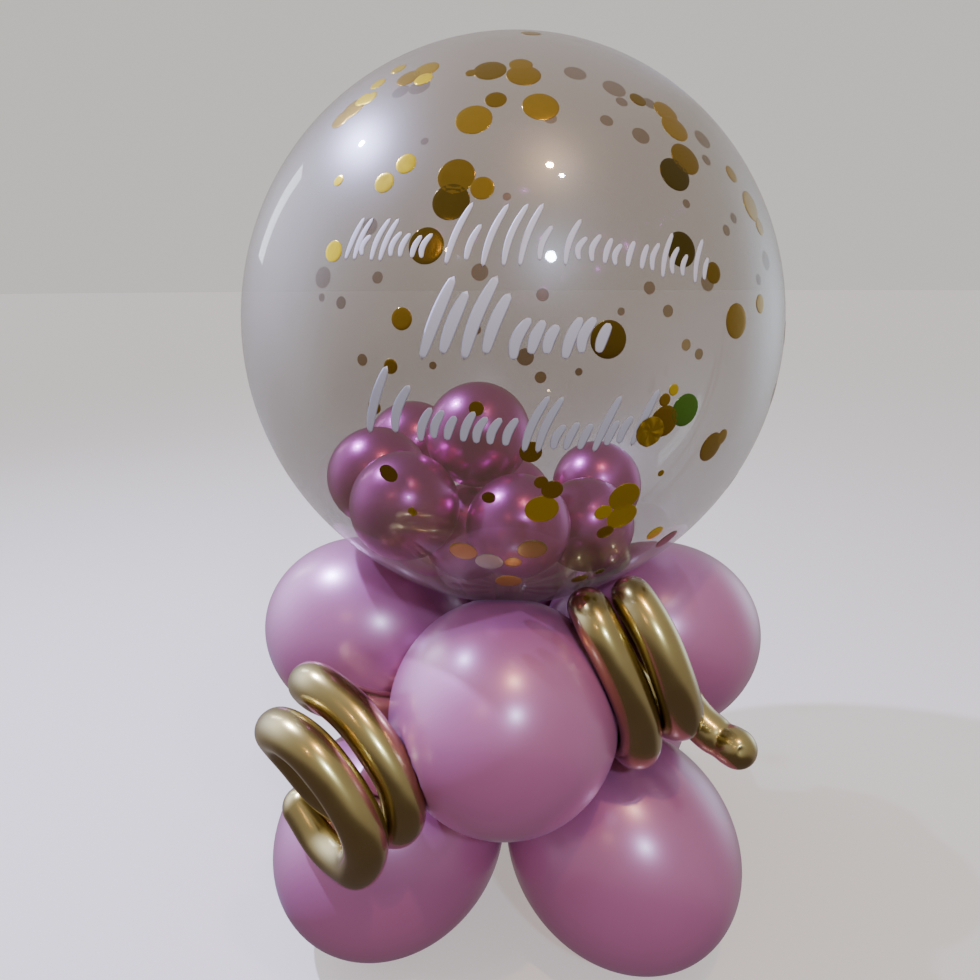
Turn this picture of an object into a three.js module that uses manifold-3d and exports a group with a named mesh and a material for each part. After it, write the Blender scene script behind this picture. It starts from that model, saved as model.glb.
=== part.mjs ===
// Balloon centrepiece: a clear bubble balloon standing on a base of eight latex
// balloons, with a gold twisted modelling balloon pushed in on each side.
// Millimetres, +Z up. The origin is the middle of the whole piece, on the floor.
// Every balloon is a sealed skin full of air, so each one is a closed solid here.

import * as THREE from 'three';
import { mergeVertices } from 'three/addons/utils/BufferGeometryUtils.js';
import Module from 'manifold-3d';

// ---------------------------------------------------------------- dimensions
const GAP = 0.3;                    // left between two balloons that touch
const CUT_SIZE = 500;               // side of the block that trims at a plane

// Clear bubble: round above, drawn down a little towards its filling stem.
const BUBBLE_RADIUS = 270;
const BUBBLE_HALF_HEIGHT = 274.5;
const BUBBLE_CENTRE_HEIGHT = 641;
const BUBBLE_DRAW_DOWN = 13;        // extra depth at the very bottom
const BUBBLE_DRAW_ANGLE = 0.5;      // radians over which that depth fades out
const STEM_RADIUS = 8;
const STEM_END_HEIGHT = 224;
const BUBBLE_SIDES = 30;
const BUBBLE_RINGS = 18;

// The two tiers of four latex balloons. Each one lies along a spoke of the base.
const UPPER_TIER = {
  halfLength: 126,
  halfWidth: 111,
  spoke: 165,                       // hub axis to the balloon's middle
  height: 294,
  rise: 16,                         // degrees: the outer end is higher
};
const LOWER_TIER = {
  halfLength: 131,
  halfWidth: 116.5,
  spoke: 176.5,
  height: 113.5,                    // lower than half the width: flat feet
  rise: -16,
};
const BALLOON_SIDES = 20;
const BALLOON_RINGS = 12;

// The necks run in from the balloons and end close round the hub.
const NECK_RADIUS = 4.5;
const NECK_ROOT_RADIUS = 30;
const NECK_ROOT_DEPTH = 0.93;       // of the half length, inside the balloon
const HUB_RADIUS = 16;
const UPPER_HUB_HEIGHT = 216;
const LOWER_HUB_HEIGHT = 190;
const NECK_SIDES = 8;

// Gold modelling balloons: one long tube each, wound in two turns and a tail.
const COIL_RADIUS = 19.5;
const COIL_SIDES = 10;
const COIL_STEPS = 48;
const COIL_HUB_HEIGHT = 204;
const COIL_HUB_RADIUS = 22;
const COIL_LEAD_RADIUS = 5;

const LEFT_COIL = {
  spoke: -135,
  lead: [[-72, -74, 243], [-125, -131, 269], [-153, -154, 291]],
  firstTurn: [
    [-178, -168, 310], [-183, -187, 334], [-168, -207, 344], [-134, -228, 332],
    [-108, -244, 310], [-89, -254, 283], [-84, -257, 261], [-88, -249, 234],
    [-103, -233, 217], [-139, -224, 226], [-167, -220, 246], [-191, -213, 272],
  ],
  secondTurn: [
    [-201, -217, 292], [-199, -234, 315], [-180, -253, 324], [-157, -268, 318],
    [-131, -280, 292], [-115, -286, 263], [-113, -282, 235], [-124, -269, 204],
    [-144, -248, 191],
  ],
  tail: [[-167, -227, 191], [-193, -205, 210]],
};

const RIGHT_COIL = {
  spoke: -45,
  lead: [[72, -72, 243], [108, -122, 248]],
  firstTurn: [
    [128, -184, 272], [126, -198, 305], [116, -203, 338], [99, -197, 374],
    [86, -186, 397], [80, -170, 406], [79, -148, 399], [87, -129, 376],
    [102, -132, 348], [124, -145, 319], [144, -156, 301],
  ],
  secondTurn: [
    [160, -171, 297], [165, -188, 309], [161, -198, 330], [153, -201, 354],
    [139, -191, 388], [128, -178, 406], [120, -163, 415], [120, -142, 409],
    [128, -124, 388],
  ],
  tail: [
    [145, -115, 352], [165, -117, 319], [182, -127, 296], [198, -144, 279],
    [225, -166, 265],
  ],
};

// ------------------------------------------------------------------- colours
const PEARL_PINK = { color: 0xb98abf, roughness: 0.35, metalness: 0.1 };
const CHROME_GOLD = { color: 0x8f7a45, roughness: 0.2, metalness: 1.0 };
const CLEAR_FILM = {
  color: 0xdfe0de,
  roughness: 0.08,
  metalness: 0.0,
  transparent: true,
  opacity: 0.35,
};

// ------------------------------------------------------------ solid geometry
const wasm = await Module();
wasm.setup();

const UP = new THREE.Vector3(0, 0, 1);
const LATHE_AXIS = new THREE.Vector3(0, 1, 0);

function toSolid(geometry) {
  const bare = geometry.clone();
  bare.deleteAttribute('normal');
  bare.deleteAttribute('uv');
  const merged = mergeVertices(bare, 1e-4);
  return new wasm.Manifold(new wasm.Mesh({
    numProp: 3,
    vertProperties: new Float32Array(merged.attributes.position.array),
    triVerts: new Uint32Array(merged.index.array),
  }));
}

function toGeometry(solid) {
  const mesh = solid.getMesh();
  const geometry = new THREE.BufferGeometry();
  geometry.setAttribute('position', new THREE.BufferAttribute(mesh.vertProperties, 3));
  geometry.setIndex(new THREE.BufferAttribute(mesh.triVerts, 1));
  geometry.computeVertexNormals();
  return geometry;
}

// Turns a lathe's own axis to a direction and puts its zero at a point.
function placeAlong(geometry, point, direction) {
  const turn = new THREE.Quaternion().setFromUnitVectors(LATHE_AXIS, direction);
  geometry.applyQuaternion(turn);
  geometry.translate(point.x, point.y, point.z);
  return geometry;
}

// A straight taper between two points, closed by flat ends.
function taper(from, fromRadius, to, toRadius, sides) {
  const along = to.clone().sub(from);
  const profile = [
    new THREE.Vector2(0, 0),
    new THREE.Vector2(fromRadius, 0),
    new THREE.Vector2(toRadius, along.length()),
    new THREE.Vector2(0, along.length()),
  ];
  const geometry = new THREE.LatheGeometry(profile, sides);
  return toSolid(placeAlong(geometry, from, along.clone().normalize()));
}

// Everything on the far side of a plane: what lies beyond a contact face.
function beyondPlane(point, normal) {
  const block = new THREE.BoxGeometry(CUT_SIZE, CUT_SIZE, CUT_SIZE);
  block.translate(0, CUT_SIZE / 2, 0);
  return toSolid(placeAlong(block, point, normal));
}

// -------------------------------------------------------------- clear bubble
function bubbleProfile(growth) {
  const profile = [];
  const stemRadius = STEM_RADIUS + growth;
  const stemAngle = Math.asin(2.2 * STEM_RADIUS / BUBBLE_RADIUS);
  profile.push(new THREE.Vector2(0, STEM_END_HEIGHT - growth));
  profile.push(new THREE.Vector2(stemRadius, STEM_END_HEIGHT - growth));
  const bottom = BUBBLE_CENTRE_HEIGHT - BUBBLE_HALF_HEIGHT - BUBBLE_DRAW_DOWN;
  profile.push(new THREE.Vector2(stemRadius, bottom - 4 * STEM_RADIUS));
  for (let ring = 0; ring <= BUBBLE_RINGS; ring += 1) {
    const share = ring / BUBBLE_RINGS;
    const angle = stemAngle + share * (Math.PI - stemAngle);
    const drawn = BUBBLE_DRAW_DOWN * Math.exp(-((angle / BUBBLE_DRAW_ANGLE) ** 2));
    const radius = (BUBBLE_RADIUS + growth) * Math.sin(angle);
    const below = (BUBBLE_HALF_HEIGHT + growth) * Math.cos(angle) + drawn;
    const onAxis = ring === BUBBLE_RINGS;
    profile.push(new THREE.Vector2(onAxis ? 0 : radius, BUBBLE_CENTRE_HEIGHT - below));
  }
  return profile;
}

function clearBubble(growth = 0) {
  const geometry = new THREE.LatheGeometry(bubbleProfile(growth), BUBBLE_SIDES);
  return toSolid(placeAlong(geometry, new THREE.Vector3(), UP));
}

// ------------------------------------------------------- pearl pink balloons
// One balloon of a tier: where it lies, and its reach in any direction.
function balloonPlace(tier, azimuth) {
  const turn = THREE.MathUtils.degToRad(azimuth);
  const rise = THREE.MathUtils.degToRad(tier.rise);
  const outward = new THREE.Vector3(Math.cos(turn), Math.sin(turn), 0);
  const axis = outward.clone().multiplyScalar(Math.cos(rise));
  axis.addScaledVector(UP, Math.sin(rise));
  const centre = outward.clone().multiplyScalar(tier.spoke);
  centre.addScaledVector(UP, tier.height);
  return { tier, azimuth, outward, axis, centre };
}

function reach(place, direction) {
  const along = direction.dot(place.axis);
  const across = 1 - along * along;
  const { halfLength, halfWidth } = place.tier;
  return 1 / Math.sqrt(along ** 2 / halfLength ** 2 + across / halfWidth ** 2);
}

function balloonBody(place) {
  const { halfLength, halfWidth } = place.tier;
  const profile = [];
  for (let ring = 0; ring <= BALLOON_RINGS; ring += 1) {
    const angle = Math.PI * ring / BALLOON_RINGS;
    const onAxis = ring === 0 || ring === BALLOON_RINGS;
    const radius = onAxis ? 0 : halfWidth * Math.sin(angle);
    profile.push(new THREE.Vector2(radius, -halfLength * Math.cos(angle)));
  }
  const geometry = new THREE.LatheGeometry(profile, BALLOON_SIDES);
  return toSolid(placeAlong(geometry, place.centre, place.axis));
}

function balloonNeck(place, hubHeight) {
  const root = place.centre.clone();
  root.addScaledVector(place.axis, -NECK_ROOT_DEPTH * place.tier.halfLength);
  const end = place.outward.clone().multiplyScalar(HUB_RADIUS);
  end.addScaledVector(UP, hubHeight);
  return taper(root, NECK_ROOT_RADIUS, end, NECK_RADIUS, NECK_SIDES);
}

// Two balloons pressed together meet at a flat face between their middles.
function pressAgainst(solid, place, neighbour) {
  const between = neighbour.centre.clone().sub(place.centre);
  const distance = between.length();
  const direction = between.clone().normalize();
  const own = reach(place, direction);
  const other = reach(neighbour, direction.clone().negate());
  const overlap = own + other - distance;
  if (overlap <= 0) return solid;
  const faceDistance = own - overlap / 2 - GAP / 2;
  const face = place.centre.clone().addScaledVector(direction, faceDistance);
  return solid.subtract(beyondPlane(face, direction));
}

// ------------------------------------------------------- gold twisted coils
function coilPath(coil) {
  const points = [...coil.lead, ...coil.firstTurn, ...coil.secondTurn, ...coil.tail];
  return new THREE.CatmullRomCurve3(points.map(([x, y, z]) => new THREE.Vector3(x, y, z)));
}

function coilSection(radius) {
  const section = new THREE.Shape();
  for (let side = 0; side < COIL_SIDES; side += 1) {
    const angle = 2 * Math.PI * side / COIL_SIDES;
    const x = radius * Math.cos(angle);
    const y = radius * Math.sin(angle);
    if (side === 0) section.moveTo(x, y);
    else section.lineTo(x, y);
  }
  section.closePath();
  return section;
}

function goldCoil(coil, growth = 0) {
  const path = coilPath(coil);
  const radius = COIL_RADIUS + growth;
  const tube = toSolid(new THREE.ExtrudeGeometry(coilSection(radius), {
    extrudePath: path,
    steps: COIL_STEPS,
    bevelEnabled: false,
  }));
  const tip = new THREE.SphereGeometry(radius * 0.99, COIL_SIDES, 8);
  const end = path.getPoint(1);
  tip.translate(end.x, end.y, end.z);
  const turn = THREE.MathUtils.degToRad(coil.spoke);
  const hub = new THREE.Vector3(Math.cos(turn), Math.sin(turn), 0);
  hub.multiplyScalar(COIL_HUB_RADIUS).addScaledVector(UP, COIL_HUB_HEIGHT);
  const start = path.getPoint(0.01);
  const lead = taper(hub, COIL_LEAD_RADIUS + growth, start, radius * 0.97, NECK_SIDES);
  return tube.add(toSolid(tip)).add(lead);
}

// ---------------------------------------------------------------- assembling
const upperPlaces = {
  upper_balloon_front: balloonPlace(UPPER_TIER, -90),
  upper_balloon_right: balloonPlace(UPPER_TIER, 0),
  upper_balloon_back: balloonPlace(UPPER_TIER, 90),
  upper_balloon_left: balloonPlace(UPPER_TIER, 180),
};
const lowerPlaces = {
  lower_balloon_front_left: balloonPlace(LOWER_TIER, -135),
  lower_balloon_front_right: balloonPlace(LOWER_TIER, -45),
  lower_balloon_back_right: balloonPlace(LOWER_TIER, 45),
  lower_balloon_back_left: balloonPlace(LOWER_TIER, 135),
};
const allPlaces = [...Object.values(upperPlaces), ...Object.values(lowerPlaces)];
const floor = beyondPlane(new THREE.Vector3(), UP.clone().negate());
const bubbleDent = clearBubble(GAP);
const coilDents = [goldCoil(LEFT_COIL, GAP), goldCoil(RIGHT_COIL, GAP)];

function pinkBalloon(place, hubHeight) {
  let solid = balloonBody(place).add(balloonNeck(place, hubHeight));
  for (const neighbour of allPlaces) {
    if (neighbour !== place) solid = pressAgainst(solid, place, neighbour);
  }
  solid = solid.subtract(bubbleDent);
  for (const dent of coilDents) solid = solid.subtract(dent);
  return solid.subtract(floor);
}

const centrepiece = new THREE.Group();

function addPiece(name, solid, finish) {
  const mesh = new THREE.Mesh(toGeometry(solid), new THREE.MeshStandardMaterial(finish));
  mesh.name = name;
  centrepiece.add(mesh);
}

addPiece('clear_bubble', clearBubble(), CLEAR_FILM);
for (const [name, place] of Object.entries(upperPlaces)) {
  addPiece(name, pinkBalloon(place, UPPER_HUB_HEIGHT), PEARL_PINK);
}
for (const [name, place] of Object.entries(lowerPlaces)) {
  addPiece(name, pinkBalloon(place, LOWER_HUB_HEIGHT), PEARL_PINK);
}
addPiece('gold_coil_left', goldCoil(LEFT_COIL), CHROME_GOLD);
addPiece('gold_coil_right', goldCoil(RIGHT_COIL), CHROME_GOLD);

// The origin goes to the middle of the footprint.
const box = new THREE.Box3().setFromObject(centrepiece);
const middle = box.getCenter(new THREE.Vector3());
centrepiece.position.set(-middle.x, -middle.y, -box.min.z);

export default centrepiece;
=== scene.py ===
# %% [markdown]
# # A bubble balloon centrepiece
# A clear bubble balloon stands on two tiers of four pearl pink latex balloons, with a gold
# twisting balloon pushed in on each side. The bubble holds nine small chrome balloons and
# foil confetti, and carries three rows of vinyl strokes. The construction model gives the
# place and size of the film, the latex balloons and the gold tubes, so the lesson starts
# by loading it. Each of those skins is drawn again in its own place with a finer mesh, and
# what the model leaves out is added.

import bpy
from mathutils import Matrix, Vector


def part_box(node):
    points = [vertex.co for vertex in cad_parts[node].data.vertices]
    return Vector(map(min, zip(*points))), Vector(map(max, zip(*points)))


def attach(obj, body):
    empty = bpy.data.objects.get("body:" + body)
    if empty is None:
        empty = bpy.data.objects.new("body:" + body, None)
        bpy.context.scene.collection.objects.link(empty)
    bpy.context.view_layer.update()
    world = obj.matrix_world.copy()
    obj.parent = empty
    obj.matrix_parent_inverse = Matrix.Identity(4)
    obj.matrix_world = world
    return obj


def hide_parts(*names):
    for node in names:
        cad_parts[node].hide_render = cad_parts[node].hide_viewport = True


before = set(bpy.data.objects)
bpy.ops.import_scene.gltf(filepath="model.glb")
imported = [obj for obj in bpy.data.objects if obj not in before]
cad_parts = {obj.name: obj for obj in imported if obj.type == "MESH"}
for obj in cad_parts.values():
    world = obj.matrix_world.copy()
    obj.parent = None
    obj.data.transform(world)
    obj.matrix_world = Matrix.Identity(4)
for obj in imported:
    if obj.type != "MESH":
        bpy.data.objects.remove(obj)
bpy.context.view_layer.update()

# %% Libraries and units
import math
import random

import bpy
import numpy as np
from mathutils import Matrix, Vector

MM = 0.001
GAP = 0.3 * MM          # left between two skins that touch
FAR = 10.0              # metres: where a ray goes that meets nothing
bubble_low, bubble_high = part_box("clear_bubble")
AXIS = np.array([bubble_low.x + bubble_high.x, bubble_low.y + bubble_high.y, 0]) / 2
print("The stack's own axis stands at", AXIS.round(5))

# %% [markdown]
# ## The view
# The camera looks slightly down from the front, about three quarters of a metre from the
# stack's axis. It is close, so the lens is wide and the lower balloons look smaller than
# they are. A camera could be aimed by a constraint. Here it takes three plain turns
# instead, heading, pitch and roll, because each can be read and changed by itself.

# %% Camera
CAMERA_PLACE = (0.0224, -0.7675, 0.6971)
CAMERA_PITCH = -16.21   # degrees: below level
CAMERA_HEADING = 3.29   # degrees: to the left of straight ahead
CAMERA_ROLL = -0.22     # degrees
LENS = 26.33            # millimetres, as the sensor is
SENSOR_WIDTH = 36

camera = bpy.data.objects.new("camera", bpy.data.cameras.new("camera"))
camera.data.lens = LENS
camera.data.sensor_width = SENSOR_WIDTH
heading = Matrix.Rotation(math.radians(CAMERA_HEADING), 4, "Z")
pitch = Matrix.Rotation(math.radians(90 + CAMERA_PITCH), 4, "X")
roll = Matrix.Rotation(math.radians(CAMERA_ROLL), 4, "Z")
camera.matrix_world = Matrix.Translation(CAMERA_PLACE) @ heading @ pitch @ roll
bpy.context.scene.collection.objects.link(camera)
bpy.context.scene.camera = camera
print("Camera at", CAMERA_PLACE, "metres, lens", LENS, "mm")

# %% [markdown]
# ## Writing finishes as sums
# A finish is a small network of nodes. Reading it is easier as arithmetic, so one class
# wraps a node's output and turns plus, minus, times and power into Math nodes. Every
# other node comes from one method, which sets the node up and then fills its sockets.
# Nodes could be wired by hand, but a sum shows at a glance what a socket is given.


# %% A wire that can be used in a sum
class Wire:
    """A node's output that Python's own signs can add, subtract, multiply and raise."""
    def __init__(self, tree, socket):
        self.tree = tree
        self.socket = socket

    def math(self, operation, first, second):
        node = self.tree.nodes.new("ShaderNodeMath")
        node.operation = operation
        fill(self.tree, node.inputs[0], first)
        fill(self.tree, node.inputs[1], second)
        return Wire(self.tree, node.outputs[0])

    def __add__(self, other):
        return self.math("ADD", self, other)

    def __sub__(self, other):
        return self.math("SUBTRACT", self, other)

    def __rsub__(self, other):
        return self.math("SUBTRACT", other, self)

    def __mul__(self, other):
        return self.math("MULTIPLY", self, other)

    def __pow__(self, other):
        return self.math("POWER", self, other)

    __radd__ = __add__
    __rmul__ = __mul__


def fill(tree, socket, value):
    if isinstance(value, Wire):
        tree.links.new(value.socket, socket)
    else:
        socket.default_value = value


# %% A finish: a material and its network
class Finish:
    """A material's network: its nodes, and the shader that they lead to."""
    def __init__(self, name):
        self.name = name
        self.material = bpy.data.materials.new(name)
        self.material.use_nodes = True
        self.tree = self.material.node_tree
        self.shader = self.tree.nodes["Principled BSDF"]

    def node(self, kind, settings, sockets, output=0):
        node = self.tree.nodes.new(kind)
        for name, value in settings.items():
            if name == "stops":
                set_stops(node.color_ramp, value)
            else:
                setattr(node, name, value)
        for name, value in sockets.items():
            fill(self.tree, node.inputs[name], value)
        return Wire(self.tree, node.outputs[output])

    def noise(self, place, scale, detail=2.0, distortion=0.0):
        sockets = {"Vector": place, "Scale": scale, "Detail": detail, "Distortion": distortion}
        return self.node("ShaderNodeTexNoise", {}, sockets)

    def mix(self, share, first, second):
        """A colour between two: the Mix node keeps its colours in sockets 6, 7 and 2."""
        sockets = {0: share, 6: first, 7: second}
        return self.node("ShaderNodeMix", {"data_type": "RGBA"}, sockets, output=2)

    def bump(self, height, strength, distance):
        sockets = {"Height": height, "Strength": strength, "Distance": distance}
        return self.node("ShaderNodeBump", {}, sockets)

    def place(self):
        return self.node("ShaderNodeTexCoord", {}, {}, output="Object")

    def set(self, sockets):
        for name, value in sockets.items():
            fill(self.tree, self.shader.inputs[name], value)
        print(f"{self.name} finish: {len(self.tree.nodes)} nodes")


def set_stops(ramp, stops):
    while len(ramp.elements) > 1:
        ramp.elements.remove(ramp.elements[-1])
    for position, color in stops:
        first = position == stops[0][0]
        element = ramp.elements[0] if first else ramp.elements.new(position)
        element.position = position
        element.color = color


def rgb(red, green, blue):
    """A colour as it is seen, 0 to 255, turned into the linear values that shaders use."""
    linear = []
    for value in (red, green, blue):
        share = value / 255
        low = share <= 0.04045
        linear.append(share / 12.92 if low else ((share + 0.055) / 1.055) ** 2.4)
    return (*linear, 1)


# %% [markdown]
# ## Skins from rings
# A balloon, a tube, a confetti disc and a vinyl stroke are all closed skins that can be
# drawn as a row of rings between two end points. Spheres and curves with a bevel would
# make some of them, but none with a dent or a pleat. So one function makes them all: it
# joins the rings with four-sided faces and closes each end with a fan.


# %% Rings to mesh
def ring_faces(count, sides):
    """Faces between rings of points, and a fan from each end point to the ring beside it."""
    faces = []
    last = 1 + count * sides
    for side in range(sides):
        turn = (side + 1) % sides
        faces.append((0, 1 + turn, 1 + side))
        for ring in range(count - 1):
            a = 1 + ring * sides
            faces.append((a + side, a + turn, a + sides + turn, a + sides + side))
        a = 1 + (count - 1) * sides
        faces.append((a + side, a + turn, last))
    return faces


def skin_parts(rings, start, end):
    """The points and outward faces of one closed skin."""
    count, sides, _ = rings.shape
    return np.vstack([start, rings.reshape(-1, 3), end]), ring_faces(count, sides)


# %% Skins to a piece
def make_piece(name, parts, finish, tints=None):
    """Joins closed skins into one object that rides on the body and takes a finish."""
    points, faces, start = [], [], 0
    for part_points, part_faces in parts:
        points.append(part_points)
        faces += [tuple(start + i for i in face) for face in part_faces]
        start += len(part_points)
    mesh = bpy.data.meshes.new(name)
    mesh.from_pydata(np.vstack(points).tolist(), [], faces)
    mesh.polygons.foreach_set("use_smooth", [True] * len(faces))
    if tints is not None:
        tint = mesh.attributes.new("tint", "FLOAT", "POINT")
        tint.data.foreach_set("value", np.asarray(tints, np.float32))
    mesh.materials.append(finish.material)
    mesh.update()
    piece = bpy.data.objects.new(name, mesh)
    bpy.context.scene.collection.objects.link(piece)
    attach(piece, "root")
    print(f"{name}: {len(mesh.vertices)} points, {len(faces)} faces")
    return piece


# %% Directions and circles
def unit(vector):
    return vector / np.linalg.norm(vector)


def frame_round(direction):
    """Two unit vectors square to a direction, found with an axis that isn't close to it."""
    is_steep = abs(direction[2]) >= 0.9
    helper = np.array([1.0, 0, 0]) if is_steep else np.array([0, 0, 1.0])
    side = unit(np.cross(helper, direction))
    return side, np.cross(direction, side)


def full_turn(sides):
    """Angles all the way round, the last one short of the first."""
    return np.linspace(0, 2 * math.pi, sides, endpoint=False)


def circle(turns, side, up):
    """A unit circle that starts at one direction and turns towards the other."""
    return np.outer(np.cos(turns), side) + np.outer(np.sin(turns), up)


# %% [markdown]
# ## The clear bubble
# A bubble balloon is a stretched sphere of clear plastic, drawn down a little at its
# filling stem, where the film gathers into pleats. A sphere could be pulled into shape
# with modifiers. A profile written as a formula is used instead, the same one as in the
# construction model, because the discs and strokes further on can ask it where the film is.

# %% Bubble sizes
BUBBLE_RADIUS = 270 * MM
BUBBLE_HALF_HEIGHT = 274.5 * MM
BUBBLE_CENTRE = AXIS + np.array([0, 0, 641 * MM])
BUBBLE_DRAW_DOWN = 13 * MM
BUBBLE_DRAW_ANGLE = 0.5  # radians from the stem over which the drawing down fades
STEM_RADIUS = 8 * MM
STEM_FLARE = 1.2        # how much wider the stem gets on its way up, in stem radii
STEM_END_HEIGHT = 224 * MM
PLEATS = 16
PLEAT_DEPTH = 0.10      # share of the radius
PLEAT_FADE_ANGLE = 0.16  # radians from the stem over which the pleats run out
BUBBLE_SIDES = 192
BUBBLE_RINGS = 150
STEM_RINGS = 10
print("Bubble", round(2 * BUBBLE_RADIUS, 3), "m wide,", round(2 * BUBBLE_HALF_HEIGHT, 3), "m high")


def bubble_point(angle, turn, proud=0.0):
    """A point of the film: angle up from the stem, turn round the axis, in radians."""
    drawn = BUBBLE_DRAW_DOWN * math.exp(-((angle / BUBBLE_DRAW_ANGLE) ** 2))
    radius = (BUBBLE_RADIUS + proud) * math.sin(angle)
    below = (BUBBLE_HALF_HEIGHT + proud) * math.cos(angle) + drawn
    return BUBBLE_CENTRE + np.array([radius * math.cos(turn), radius * math.sin(turn), -below])


# %% [markdown]
# The film is clear plastic, slightly hazy from the stretching, and it mirrors the room. It
# could bend the light like glass, but a skin this thin hardly bends it. So a plain alpha
# lets what lies behind show straight through. A warm grey-brown stands for the haze, and a
# hard coat on top keeps the lamps sharp.

# %% Bubble finish
film = Finish("clear_film")
film_place = film.place()
film_haze = film.noise(film_place, 4.0, 3.0, 0.8)
film.set({
    "Base Color": film.mix(film_haze, rgb(100, 82, 58), rgb(120, 103, 78)),
    "Alpha": 0.54, "IOR": 1.6, "Roughness": 0.26 + film_haze * 0.18,
    "Specular IOR Level": 0.9,
    "Coat Weight": 1.0, "Coat Roughness": 0.03, "Coat IOR": 2.0,
    "Sheen Weight": 0.12, "Sheen Roughness": 0.35, "Sheen Tint": rgb(214, 226, 240)})

# %% Bubble mesh
stem_angle = math.asin((1 + STEM_FLARE) * STEM_RADIUS / BUBBLE_RADIUS)
stem_top = bubble_point(stem_angle, 0)[2]
bubble_rings = []
turns = full_turn(BUBBLE_SIDES)
for step in range(STEM_RINGS):
    share = step / STEM_RINGS
    flare = 1 + STEM_FLARE * share**3
    pleat = 1 + PLEAT_DEPTH * np.cos(PLEATS * turns)
    height = STEM_END_HEIGHT + share * (stem_top - STEM_END_HEIGHT)
    radius = STEM_RADIUS * flare * pleat
    bubble_rings.append(np.stack([
        AXIS[0] + radius * np.cos(turns), AXIS[1] + radius * np.sin(turns),
        np.full(BUBBLE_SIDES, height)], 1))
for step in range(BUBBLE_RINGS):
    angle = stem_angle + (step / BUBBLE_RINGS) * (math.pi - stem_angle)
    fade = math.exp(-(((angle - stem_angle) / PLEAT_FADE_ANGLE) ** 2))
    ring = np.array([bubble_point(angle, turn) for turn in turns])
    pleat = 1 + PLEAT_DEPTH * fade * np.cos(PLEATS * turns)
    ring[:, :2] = AXIS[:2] + (ring[:, :2] - AXIS[:2]) * pleat[:, None]
    bubble_rings.append(ring)
bubble_top = bubble_point(math.pi, 0)
stem_tip = np.array([AXIS[0], AXIS[1], STEM_END_HEIGHT])
bubble = make_piece(
    "bubble_film", [skin_parts(np.array(bubble_rings), stem_tip, bubble_top)],
    film)
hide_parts("clear_bubble")

# %% [markdown]
# ## The gold twisting balloons
# Each one is a single long tube, wound twice round a form and pushed between the
# balloons, with its tail left free. A helix would be too even for it. So the route is a
# list of given points, the same as in the construction model, joined by a smooth curve.
# Only the right tube's free end is turned a few millimetres further to the front.

# %% Coil routes
COIL_RADIUS = 19.5 * MM
COIL_LEAD_RADIUS = 5 * MM
COIL_LEAD_LENGTH = 90 * MM
CURVE_STEPS = 18        # between one point of the route and the next

# From here on in millimetres, x and y from the stack's axis and z from the floor. A spoke
# is in degrees: the way that the lead comes out between two balloons.
COIL_HUB_HEIGHT = 204
COIL_HUB_RADIUS = 22

LEFT_COIL = {
    "spoke": -135,
    "lead": [(-72, -74, 243), (-125, -131, 269), (-153, -154, 291)],
    "first_turn": [
        (-178, -168, 310), (-183, -187, 334), (-168, -207, 344), (-134, -228, 332),
        (-108, -244, 310), (-89, -254, 283), (-84, -257, 261), (-88, -249, 234),
        (-103, -233, 217), (-139, -224, 226), (-167, -220, 246), (-191, -213, 272)],
    "second_turn": [
        (-201, -217, 292), (-199, -234, 315), (-180, -253, 324), (-157, -268, 318),
        (-131, -280, 292), (-115, -286, 263), (-113, -282, 235), (-124, -269, 204),
        (-144, -248, 191)],
    "tail": [(-167, -227, 191), (-193, -205, 210)],
}
RIGHT_COIL = {
    "spoke": -45,
    "lead": [(72, -72, 243), (108, -122, 248)],
    "first_turn": [
        (128, -184, 272), (126, -198, 305), (116, -203, 338), (99, -197, 374),
        (86, -186, 397), (80, -170, 406), (79, -148, 399), (87, -129, 376),
        (102, -132, 348), (124, -145, 319), (144, -156, 301)],
    "second_turn": [
        (160, -171, 297), (165, -188, 309), (161, -198, 330), (153, -201, 354),
        (139, -191, 388), (128, -178, 406), (120, -163, 415), (120, -142, 409),
        (128, -124, 388)],
    "tail": [
        (145, -115, 352), (164, -118, 316), (179, -129, 292), (194, -144, 276),
        (209, -157, 268), (224, -170, 265)],
}


# %% A smooth curve through the points
def smooth_curve(points):
    """A centripetal Catmull-Rom curve: it passes through every point without loops."""
    ends = [2 * points[0] - points[1], *points, 2 * points[-1] - points[-2]]
    samples = []
    for p0, p1, p2, p3 in zip(ends, ends[1:], ends[2:], ends[3:]):
        t1 = math.sqrt(np.linalg.norm(p1 - p0))
        t2 = t1 + math.sqrt(np.linalg.norm(p2 - p1))
        t3 = t2 + math.sqrt(np.linalg.norm(p3 - p2))
        for t in np.linspace(t1, t2, CURVE_STEPS, endpoint=False):
            a1 = (t1 - t) / t1 * p0 + t / t1 * p1
            a2 = (t2 - t) / (t2 - t1) * p1 + (t - t1) / (t2 - t1) * p2
            a3 = (t3 - t) / (t3 - t2) * p2 + (t - t2) / (t3 - t2) * p3
            b1 = (t2 - t) / t2 * a1 + t / t2 * a2
            b2 = (t3 - t) / (t3 - t1) * a2 + (t - t1) / (t3 - t1) * a3
            samples.append((t2 - t) / (t2 - t1) * b1 + (t - t1) / (t2 - t1) * b2)
    samples.append(points[-1])
    return np.array(samples)


def coil_curve(coil):
    turn = math.radians(coil["spoke"])
    hub = (COIL_HUB_RADIUS * math.cos(turn), COIL_HUB_RADIUS * math.sin(turn), COIL_HUB_HEIGHT)
    route = [hub, *coil["lead"], *coil["first_turn"], *coil["second_turn"], *coil["tail"]]
    return smooth_curve([AXIS + np.array(point) * MM for point in route])


coil_curves = {"left": coil_curve(LEFT_COIL), "right": coil_curve(RIGHT_COIL)}
for side, curve in coil_curves.items():
    length = np.linalg.norm(np.diff(curve, axis=0), axis=1).sum()
    print(f"{side} coil: {length:.3f} m along its middle")

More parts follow.
